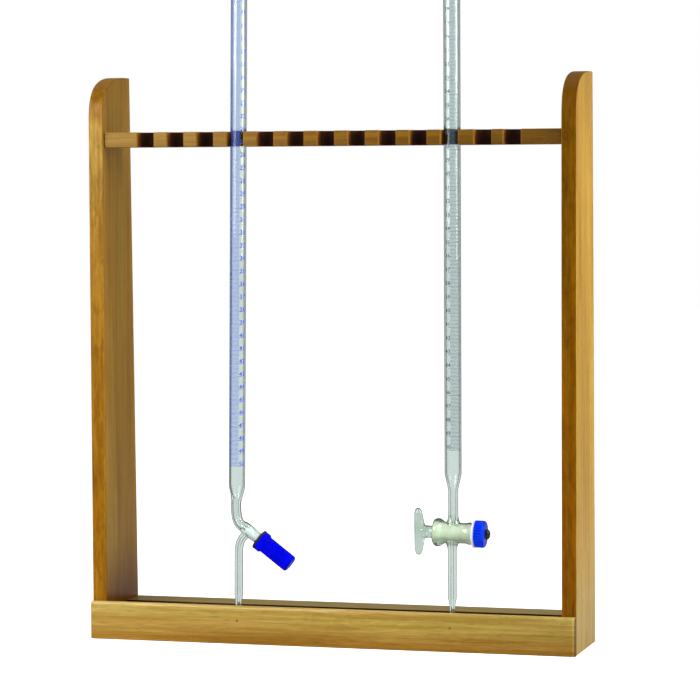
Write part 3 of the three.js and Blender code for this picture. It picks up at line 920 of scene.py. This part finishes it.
def glass_body_a(burette):
    neck = in_plane((NECK_X_A, 104), (NECK_X_A - 0.2, 95.6)) + [BARREL_START]
    neck_outside = bezier(in_plane((NECK_X_A, 121)) + neck, 20)
    neck_inside = bezier(in_plane((NECK_X_A, 115)) + neck, 16)
    side_curve = in_plane((9.4, 88.4), (5.6, 84.4), (JET_X_A, 82.6), (JET_X_A, 72))
    outside = tube_outside(TUBE_A, [
        (0, 110), (3.2, 110), (3.35, 111.5), (3.75, 113.6), (4.3, 115.8), (4.85, 117.8), (5.4, 119.8),
        (5.85, 121.6)])
    inside = tube_inside(TUBE_A, [(0, 112.5), (0.9, 112.5), (2.3, 115.2), (3.2, 117.4), (4.2, 120.6)])
    barrel = burette.laid([
        (0, -3.6), (1.6, -3.5), (2.9, -3.0), (3.9, -2.0), (4.5, -0.7), (4.8, 1.2), (4.9, 4), (4.85, 7),
        (4.65, 11.5), (4.35, 15), (4.3, 17), (4.3, 30.6), (3.9, 31), (0, 31)])
    chamber = burette.laid([(0, 1.6), (1.3, 1.6), (3.0, 4.4), (3.0, 32), (0, 32)], 48)
    seat_bore = burette.laid([(0, -1.4), (1.3, -1.4), (1.3, 2.0), (0, 2.0)], 24)
    side_arm = sweep(bezier(side_curve, 18), 3.4, 40)
    side_bore = sweep(bezier(side_curve, 16), 1.04, 20)
    outer = [outside, sweep(neck_outside, 4.2, 48), barrel, side_arm, jet(JET_X_A, JET_A, 73)]
    hollow = [inside, sweep(neck_inside, 2.3, 28), chamber, seat_bore, side_bore, jet_bore(JET_X_A, 73)]
    return blown(outer, hollow)


def build_burette_a(white, seal, black):
    burette = Burette("glass_body_a", "knob_a_turn", BARREL_START, VALVE_ANGLE)
    ground = (burette.on_axis(10), burette.axis, 7, 3.3, MILKY)
    glass = clear_glass("valve_glass", TUBE_TINT, TUBE_EDGE_SHADE, ground)
    body = glass_body_a(burette)
    burette.add("burette_a_glass", body, glass, "burette_a", "glass_body_a", "clear_glass", 30)
    spindle = [(0, 1.0), (0.9, 1.2), (2.6, 4.3), (2.75, 5.0)]
    for groove in (11.1, 15.5):
        spindle += [(2.75, groove), (2.6, groove + 0.15), (1.8, groove + 0.15), (1.8, groove + 2.05),
                    (2.6, groove + 2.05), (2.75, groove + 2.2)]
    spindle += [(2.75, 33.5), (2.0, 33.5), (2.0, 41), (0, 41)]
    spindle = burette.laid(spindle, 48)
    burette.add("spindle_a_ptfe", spindle, white, "needle_a", "needle_spindle_a", "white_ptfe")
    for index, distance in enumerate((12.2, 16.6), start=1):
        ring = burette.laid(round_section(2.38, distance, 0.5, 12), 48, closed=True)
        node = f"needle_o_ring_a_{index}"
        burette.add(f"spindle_o_ring_{index}", ring, seal, "needle_a", node, "pale_silicone")
    gasket = [(4.5, 15.6), (7.2, 15.55), (8.2, 15.85), (8.5, 16.4), (8.55, 17.3), (8.45, 17.7), (4.5, 17.7)]
    gasket = burette.laid(gasket, closed=True)
    burette.add("gasket_a_rubber", gasket, black, "knob_a_body", "knob_gasket_a", "black_rubber")
    bore = [(0, 41.4), (2.2, 41.4), (2.2, 34), (4.65, 34)]
    flange = [(4.65, 17.75), (7.6, 17.75), (8.1, 18.0), (8.4, 18.6), (8.4, 21.4), (8.15, 22.1), (7.7, 22.5),
              (7.35, 22.7), (7.2, 23.2), (7.15, 23.9), (7.1, 24.2)]
    crown = [(7.1, 46.9), (7.05, 47.5), (6.8, 48.3), (6.3, 48.8), (5.7, 49), (0, 49)]
    knob = bore + flange + spaced(24.8, 46.4, 6, 7.1) + crown
    grip = burette.laid(knob, 192, radius_at=ribbed(24, 0.45, 24.5, 46.6))
    blue = moulded("knob_plastic", (0.001, 0.003, 0.98), (0.001, 0.002, 0.66), 0.28, sheen=0.0,
                   gloss=(0.10, 0.14, 1.0), shine=0.06,
                   grooves=(burette.on_axis(35.6), burette.axis, 11, 7.05, 6.6))
    burette.add("knob_a_blue", grip, blue, "knob_a_body", "knob_a", "blue_plastic", 50)
    scale = graduated(TUBE_A["radius"], zero_height=657, pitch=10.3, ticks=(-52, 27), numbers=54,
                      line_width=0.33, size=5.0, raised=0.1)
    burette.add("scale_a_enamel", scale, enamel("blue_enamel", (0.045, 0.13, 0.88)), "burette_a")


# ---- burette B ----
KEY_HEIGHT = 92.6
KEY_PLACE = Vector((0, 0, KEY_HEIGHT))
KEY_DIP = 1.2
JET_X_B = -0.9
TUBE_B = {"radius": 6.7, "bore": 5.6, "top": 735, "shoulder": 138}
JET_B = (3.6, 2.25, 2.0, 35, 41)
BARREL_END = 15.6
STUD_START = 16.2
WASHER_END = 18.1
NUT_ENDS = (18.2, 26.2)
NUT_RADIUS = 10.8
PLUG_RADII = (5.75, 4.2)


def glass_body_b(burette):
    outside = tube_outside(TUBE_B, [
        (0, KEY_HEIGHT), (6.6, KEY_HEIGHT), (6.6, 98.4), (6.0, 100), (5.2, 101.4), (4.6, 103), (4.15, 105.5),
        (4.0, 108), (4.0, 125), (4.15, 127.2), (4.55, 129.6), (5.15, 132), (5.7, 134.6)])
    inside = tube_inside(TUBE_B, [
        (0, KEY_HEIGHT), (1.3, KEY_HEIGHT), (1.3, 101), (1.9, 104), (2.3, 107), (2.3, 125), (2.7, 128),
        (3.6, 131.5), (4.5, 135)])
    end = BARREL_END
    barrel = burette.laid([
        (0, -end), (9.2, -end), (9.9, -15.3), (10.6, -14.6), (11.05, -13.6), (11.2, -12.4), (11.15, -11.2),
        (10.8, -10.0), (10.0, -8.9), (9.2, -7.8), (8.75, -6.8), (8.5, -5.4), (8.35, -2), (8.25, 4), (8.15, 9),
        (8.2, 10.2), (8.4, 11.0), (8.7, 11.7), (8.85, 12.6), (8.85, 14.2), (8.65, 15.2), (8.2, end),
        (0, end)], 96)
    flare = turned([(0, 78.7), (3.62, 78.7), (3.8, 80.4), (4.3, 82.4), (5.2, 84.2), (6.4, 85.6), (6.4, 90),
                    (0, 90)], JET_X_B)
    left, right = PLUG_RADII[0] + 0.13, PLUG_RADII[1] + 0.06
    socket = burette.laid([(0, -end - 1), (left, -end - 1), (right, end + 1), (0, end + 1)], 96)
    return blown([outside, barrel, flare, jet(JET_X_B, JET_B, 82)], [inside, socket, jet_bore(JET_X_B, 92)])


def key_handle():
    """The flat pressed handle of the key, lofted from oval sections along its height."""
    rows = []
    reach = 18.6
    count = 36
    sides = 40
    for i in range(count + 1):
        t = -1 + 2 * i / count
        z = reach * sin(t * pi / 2)
        out = min(1.0, abs(z) / reach)
        end = sqrt(max(0.0, 1 - out ** 9))
        waist = exp(-(z / 5.6) ** 2)
        left = -31.6 - 0.03 * z
        right = -25.2 - 0.03 * z + 2.6 * (1 - out) ** 1.2 + 1.3 * waist
        middle = (left + right) / 2
        half_x = (right - left) / 2 * end
        half_y = (3.4 + 1.1 * waist) * end
        angles = [tau * k / sides for k in range(sides)]
        rows.append([(middle + half_x * cos(a), half_y * sin(a), z) for a in angles])
    rows[0] = rows[0][:1]
    rows[-1] = rows[-1][:1]
    return loft("handle", rows)


def glass_key():
    left, right = -BARREL_END, BARREL_END
    plug = revolve([
        (0, -27), (4.0, -27), (5.6, -23.6), (5.1, -22.4), (4.95, -20), (5.0, left - 1.3), (5.3, left - 0.5),
        (PLUG_RADII[0], left), (PLUG_RADII[1], right), (3.9, STUD_START - 0.2), (2.3, STUD_START - 0.2),
        (2.3, 24.7), (2.0, 25), (0, 25)], 72)
    key = boolean(key_handle(), moved(plug, Matrix.Rotation(pi / 2, 4, "Y")), "UNION")
    key = boolean(key, revolve([(0, -8), (1.2, -8), (1.2, 8), (0, 8)], 24), "DIFFERENCE")
    return moved(key, Matrix.Translation(KEY_PLACE) @ Matrix.Rotation(radians(KEY_DIP), 4, "Y"))


def build_burette_b(white, black, stud):
    burette = Burette("glass_body_b", "key_b_turn", KEY_PLACE, KEY_DIP)
    ground = (burette.on_axis(0), burette.axis, BARREL_END - 0.3, 6.2, STRAW)
    body_glass = clear_glass("socket_glass", TUBE_TINT, TUBE_EDGE_SHADE, ground)
    key_glass = clear_glass("key_glass", (0.66, 0.76, 0.70), (0.34, 0.42, 0.37), ground)
    body = glass_body_b(burette)
    burette.add("burette_b_glass", body, body_glass, "burette_b", "glass_body_b", "clear_glass", 30)
    burette.add("key_b_glass", glass_key(), key_glass, "key_b", "glass_key_b", "clear_glass", 40)
    thread = [(0, 25.3), (2.4, 25.3), (2.4, STUD_START), (3.85, STUD_START), (3.85, 27.6), (3.75, 28.2),
              (3.3, 28.95), (2.4, 29.45), (1.2, 29.68), (0, 29.72)]
    burette.add("key_thread_black", burette.laid(thread), stud, "key_b", "key_thread_b", "black_plastic")
    start, end = STUD_START, WASHER_END
    washer = [(3.95, start), (10.5, start), (10.85, start + 0.2), (10.95, start + 0.5), (10.95, end - 0.5),
              (10.85, end - 0.15), (10.5, end), (3.95, end)]
    washer = burette.laid(washer, closed=True)
    burette.add("washer_b_ptfe", washer, white, "key_b", "key_washer_b", "white_ptfe")
    start, end = NUT_ENDS
    ring = burette.laid(round_section(5.6, start + 1.2, 1.18, 14), closed=True)
    burette.add("o_ring_b_rubber", ring, black, "tension_ring_b", "key_o_ring_b", "black_rubber")
    recess = start + 2.5
    crest = NUT_RADIUS
    nut = [(4.05, end), (4.05, recess), (7.2, recess), (7.2, start), (crest - 0.5, start),
           (crest - 0.1, start + 0.3), (crest, start + 0.8)]
    nut += spaced(start + 1.2, end - 1.9, 3, crest)
    nut += [(crest - 0.05, end - 1.6), (crest - 0.4, end - 0.8), (crest - 1, end - 0.25), (crest - 1.9, end)]
    grip = burette.laid(nut, 256, closed=True, radius_at=ribbed(28, 1.1, start + 1.0, end - 1.7))
    middle = burette.on_axis((start + end - 0.7) / 2)
    blue = moulded("nut_plastic", (0.004, 0.060, 1.0), (0.002, 0.034, 0.86), 0.28, sheen=0.0,
                   gloss=(0.12, 0.30, 1.0), shine=0.14,
                   grooves=(middle, burette.axis, (end - start) / 2 - 1.3, crest - 0.1, crest - 1.1))
    burette.add("nut_b_blue", grip, blue, "nut_b", "tension_nut_b", "blue_plastic", 50)
    scale = graduated(TUBE_B["radius"], zero_height=693.4, pitch=10.7, ticks=(-4, 60), numbers=-21,
                      line_width=0.31, size=4.2, raised=1.1)
    burette.add("scale_b_enamel", scale, enamel("grey_enamel", (0.020, 0.095, 0.17)), "burette_b")


# ---- studio ----
def paper():
    """Pale paper, as bright as the backdrop when it is seen directly or through glass."""
    look = Look("floor_paper")
    colour = look.ramp(look.noise(30, 3, 0.5), (0.3, (0.80, 0.80, 0.795)), (0.7, (0.84, 0.84, 0.835)))
    path = look.add("LightPath").outputs
    lit = look.principled(
        Base_Color=colour, Roughness=0.9, Specular_IOR_Level=0.1, Emission_Color=(1, 1, 1),
        Emission_Strength=look.times(path["Is Camera Ray"], 0.84))
    bright = look.add("Emission", {"Color": (1, 1, 1), "Strength": 1.0}).outputs[0]
    return look.surface(look.either(path["Is Transmission Ray"], lit, bright))


def studio_floor():
    reach = 6000
    corners = [(-reach, -reach, 0), (reach, -reach, 0), (reach, reach, 0), (-reach, reach, 0)]
    below = Matrix.Translation((0, 0, -0.05))
    floor = add_object("studio_floor", mesh_of("floor", corners, [(0, 1, 2, 3)]), below)
    floor.data.materials.append(paper())


def studio_world():
    """White to the camera and through glass, soft grey as light, and brighter reflections behind the rack."""
    world = bpy.data.worlds.new("studio")
    bpy.context.scene.world = world
    world.use_nodes = True
    sky = Nodes(world.node_tree)
    seen = sky.add("LightPath").outputs
    place = sky.add("TexCoord").outputs["Generated"]
    heading = sky.add("SeparateXYZ", {0: place}).outputs["Y"]
    brightening = {"Value": heading, "From Min": 0.35, "From Max": 0.85, "To Min": 0.10, "To Max": 0.38}
    behind = sky.add("MapRange", brightening).outputs[0]
    strength = sky.add("Mix", {0: seen["Is Glossy Ray"], 2: 0.24, 3: behind}).outputs[0]
    warmth = sky.mix(seen["Is Glossy Ray"], (1, 1, 1), (1.0, 0.90, 0.66))
    room = sky.add("Background", {"Color": warmth, "Strength": strength}).outputs[0]
    backdrop = sky.add("Background", {"Color": (1, 1, 1), "Strength": 1.0}).outputs[0]
    through = sky.math("MAXIMUM", seen["Is Camera Ray"], seen["Is Transmission Ray"])
    sky.add("OutputWorld", {"Surface": sky.either(through, room, backdrop)})


def softbox(name, place, aim, width, height, power, glints_only=False):
    lamp = bpy.data.lights.new(name, "AREA")
    lamp.shape = "RECTANGLE"
    lamp.size = width
    lamp.size_y = height
    lamp.energy = power
    made = new_object(name, lamp)
    made.location = place
    made.rotation_euler = (Vector(aim) - Vector(place)).to_track_quat("-Z", "Y").to_euler()
    made.visible_diffuse = not glints_only


def studio_lights():
    softbox("key_left", (-0.80, -1.02, 0.80), (-0.05, 0, 0.25), 0.95, 0.9, 13)
    softbox("side_right", (0.86, -0.16, 0.66), (0.2, 0.02, 0.25), 0.32, 0.8, 7)
    softbox("glint_left", (-0.80, -1.02, 0.98), (-0.05, 0, 0.43), 0.95, 0.7, 16, glints_only=True)
    softbox("glint_right", (0.86, -0.16, 0.80), (0.2, 0.02, 0.39), 0.32, 0.6, 7, glints_only=True)
    softbox("overhead", (0, 0.3, 2.2), (0, 0, 0), 2.0, 2.0, 9)


def photo_camera():
    """A long lens a little to the right of the rack and slightly above its middle."""
    azimuth, elevation, roll = radians(15.796), radians(3.269), radians(0.292)
    distance = 2.378
    target = Vector((0.0181, upright_low.y * MM, 0.2365))
    data = bpy.data.cameras.new("photo_camera")
    data.lens = 154.98
    data.sensor_width = 36
    data.clip_end = 50
    camera = new_object("photo_camera", data)
    back = Vector((sin(azimuth) * cos(elevation), -cos(azimuth) * cos(elevation), sin(elevation)))
    turn = Matrix.Rotation(azimuth, 4, "Z") @ Matrix.Rotation(pi / 2 - elevation, 4, "X")
    turn = turn @ Matrix.Rotation(-roll, 4, "Z")
    camera.matrix_world = Matrix.Translation(target + back * distance) @ turn
    bpy.context.scene.camera = camera


build_rack()
build_brads()
white_ptfe = ptfe()
black_rubber = moulded("black_rubber", (0.012, 0.012, 0.014), (0.006, 0.006, 0.007), 0.55, sheen=0.05)
pale_seal = moulded("pale_seal", (0.66, 0.70, 0.65), (0.52, 0.56, 0.52), 0.5, sheen=0.05)
black_plastic = moulded("black_plastic", (0.012, 0.013, 0.016), (0.006, 0.006, 0.008), 0.3)
build_burette_a(white_ptfe, pale_seal, black_rubber)
build_burette_b(white_ptfe, black_rubber, black_plastic)
studio_floor()
studio_world()
studio_lights()
photo_camera()
bpy.context.scene.view_settings.view_transform = "Standard"
